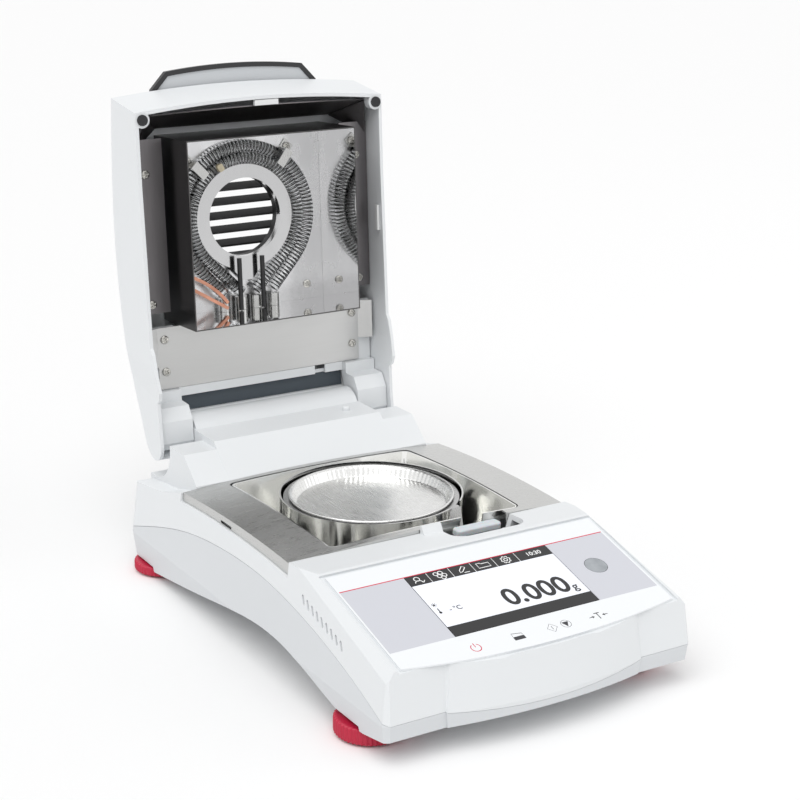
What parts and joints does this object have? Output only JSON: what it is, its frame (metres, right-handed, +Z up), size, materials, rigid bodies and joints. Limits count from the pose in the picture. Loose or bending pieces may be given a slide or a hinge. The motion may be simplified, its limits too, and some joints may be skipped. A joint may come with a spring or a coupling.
{
  "type": "moisture analyzer",
  "caption": "Bench moisture analyzer: weighing base with a touch display, a steel sample chamber and a hinged lid that holds ring heaters.",
  "frame": {"origin": "centre of the footprint of the whole instrument with its lid open, on the plane its feet rest on", "axes": "+Z up, -Y towards the user, +X to the user's right"},
  "size_m": [0.208, 0.3815, 0.3206],
  "materials": {
    "housing": "fine satin",
    "housing_low": "fine satin",
    "panel_film": "printed",
    "display": "gloss",
    "dark_plastic": "satin",
    "grey_plastic": "satin",
    "steel": "brushed",
    "mirror_steel": "polished",
    "foil": "pressed foil",
    "red_plastic": "knurled",
    "rubber": "matt",
    "white_plastic": "satin",
    "frosted": "frosted",
    "vial": "clear",
    "board": "solder mask",
    "aluminium": "milled",
    "grey_dark": "matt",
    "ceramic": "unglazed",
    "copper": "drawn",
    "coil": "drawn wire"
  },
  "bodies": {
    "base": {"cell_bracket": "aluminium", "chamber_cover": "steel", "chamber_well": "mirror_steel", "data_ports": "steel", "display_glass": "display", "display_module": "dark_plastic", "hinge_shaft": "steel", "level_cup": "grey_plastic", "level_vial": "vial", "lower_housing": "housing_low", "main_board": "board", "mains_inlet": "dark_plastic", "panel_film": "panel_film", "power_supply": "board", "upper_housing": "housing", "weighing_cell": "aluminium"},
    "lid": {"lid_shell": "housing", "lid_grille": "dark_plastic", "handle_frame": "dark_plastic", "handle_panel": "grey_plastic", "lid_liner": "steel", "lid_plate": "steel", "reflector_box": "mirror_steel", "reflector_panel": "mirror_steel", "sight_tube": "dark_plastic", "heater_plate": "mirror_steel", "heater_coil_outer": "coil", "heater_coil_inner": "coil", "heater_clips": "steel", "heater_terminals": "steel", "sensor_rods": "dark_plastic", "heater_leads": "copper", "heater_bead": "ceramic", "lid_screws": "steel", "hinge_arm_left": "white_plastic", "hinge_arm_right": "white_plastic", "lid_cross_strip": "white_plastic", "hinge_seal": "grey_dark", "latch_bar": "white_plastic", "lid_bumpers": "rubber", "lid_side_tab": "white_plastic"},
    "wind_ring": {"wind_ring": "mirror_steel"},
    "pan_support": {"pan_support": "steel"},
    "pan_lifter": {"pan_lifter": "steel", "lifter_grip": "frosted"},
    "sample_pan": {"sample_pan": "foil"},
    "lid_plunger": {"lid_plunger": "white_plastic"},
    "foot_pad_front_left": {"foot_pad_front_left": "rubber"},
    "foot_wheel_front_left": {"foot_wheel_front_left": "red_plastic"},
    "foot_pad_front_right": {"foot_pad_front_right": "rubber"},
    "foot_wheel_front_right": {"foot_wheel_front_right": "red_plastic"},
    "foot_pad_rear_left": {"foot_pad_rear_left": "rubber"},
    "foot_wheel_rear_left": {"foot_wheel_rear_left": "red_plastic"},
    "foot_pad_rear_right": {"foot_pad_rear_right": "rubber"},
    "foot_wheel_rear_right": {"foot_wheel_rear_right": "red_plastic"}
  },
  "joints": [
    {"name": "lid_hinge", "type": "hinge", "parent": "base", "child": "lid", "pos_m": [0, 0.1372, 0.0859], "axis": [-1, 0, 0], "range_deg": [-93, 0]},
    {"name": "wind_ring_lift", "type": "slide", "parent": "base", "child": "wind_ring", "axis": [0, 0, 1], "range_m": [0, 0.05]},
    {"name": "pan_support_lift", "type": "slide", "parent": "wind_ring", "child": "pan_support", "axis": [0, 0, 1], "range_m": [0, 0.045]},
    {"name": "pan_lifter_lift", "type": "slide", "parent": "pan_support", "child": "pan_lifter", "axis": [0, 0, 1], "range_m": [0, 0.045]},
    {"name": "sample_pan_lift", "type": "slide", "parent": "pan_lifter", "child": "sample_pan", "axis": [0, 0, 1], "range_m": [0, 0.04]},
    {"name": "lid_plunger_press", "type": "slide", "parent": "base", "child": "lid_plunger", "axis": [0, 0, 1], "range_m": [-0.0025, 0], "stiffness_N_per_m": 150, "springref_m": 0.003},
    {"name": "foot_pad_front_left_screw", "type": "slide", "parent": "base", "child": "foot_pad_front_left", "axis": [0, 0, -1], "range_m": [0, 0.005]},
    {"name": "foot_wheel_front_left_turn", "type": "hinge", "parent": "foot_pad_front_left", "child": "foot_wheel_front_left", "pos_m": [-0.0835, -0.1375, 0.004], "axis": [0, 0, 1], "range_deg": [0, 1440]},
    {"name": "foot_pad_front_right_screw", "type": "slide", "parent": "base", "child": "foot_pad_front_right", "axis": [0, 0, -1], "range_m": [0, 0.005]},
    {"name": "foot_wheel_front_right_turn", "type": "hinge", "parent": "foot_pad_front_right", "child": "foot_wheel_front_right", "pos_m": [0.0835, -0.1375, 0.004], "axis": [0, 0, 1], "range_deg": [0, 1440]},
    {"name": "foot_pad_rear_left_screw", "type": "slide", "parent": "base", "child": "foot_pad_rear_left", "axis": [0, 0, -1], "range_m": [0, 0.005]},
    {"name": "foot_wheel_rear_left_turn", "type": "hinge", "parent": "foot_pad_rear_left", "child": "foot_wheel_rear_left", "pos_m": [-0.0835, 0.1288, 0.004], "axis": [0, 0, 1], "range_deg": [0, 1440]},
    {"name": "foot_pad_rear_right_screw", "type": "slide", "parent": "base", "child": "foot_pad_rear_right", "axis": [0, 0, -1], "range_m": [0, 0.005]},
    {"name": "foot_wheel_rear_right_turn", "type": "hinge", "parent": "foot_pad_rear_right", "child": "foot_wheel_rear_right", "pos_m": [0.0835, 0.1288, 0.004], "axis": [0, 0, 1], "range_deg": [0, 1440]}
  ],
  "couplings": [
    {"joint": "foot_wheel_front_left_turn", "follows": "foot_pad_front_left_screw", "rad_per_m": 5026.5},
    {"joint": "foot_wheel_front_right_turn", "follows": "foot_pad_front_right_screw", "rad_per_m": 5026.5},
    {"joint": "foot_wheel_rear_left_turn", "follows": "foot_pad_rear_left_screw", "rad_per_m": 5026.5},
    {"joint": "foot_wheel_rear_right_turn", "follows": "foot_pad_rear_right_screw", "rad_per_m": 5026.5}
  ]
}
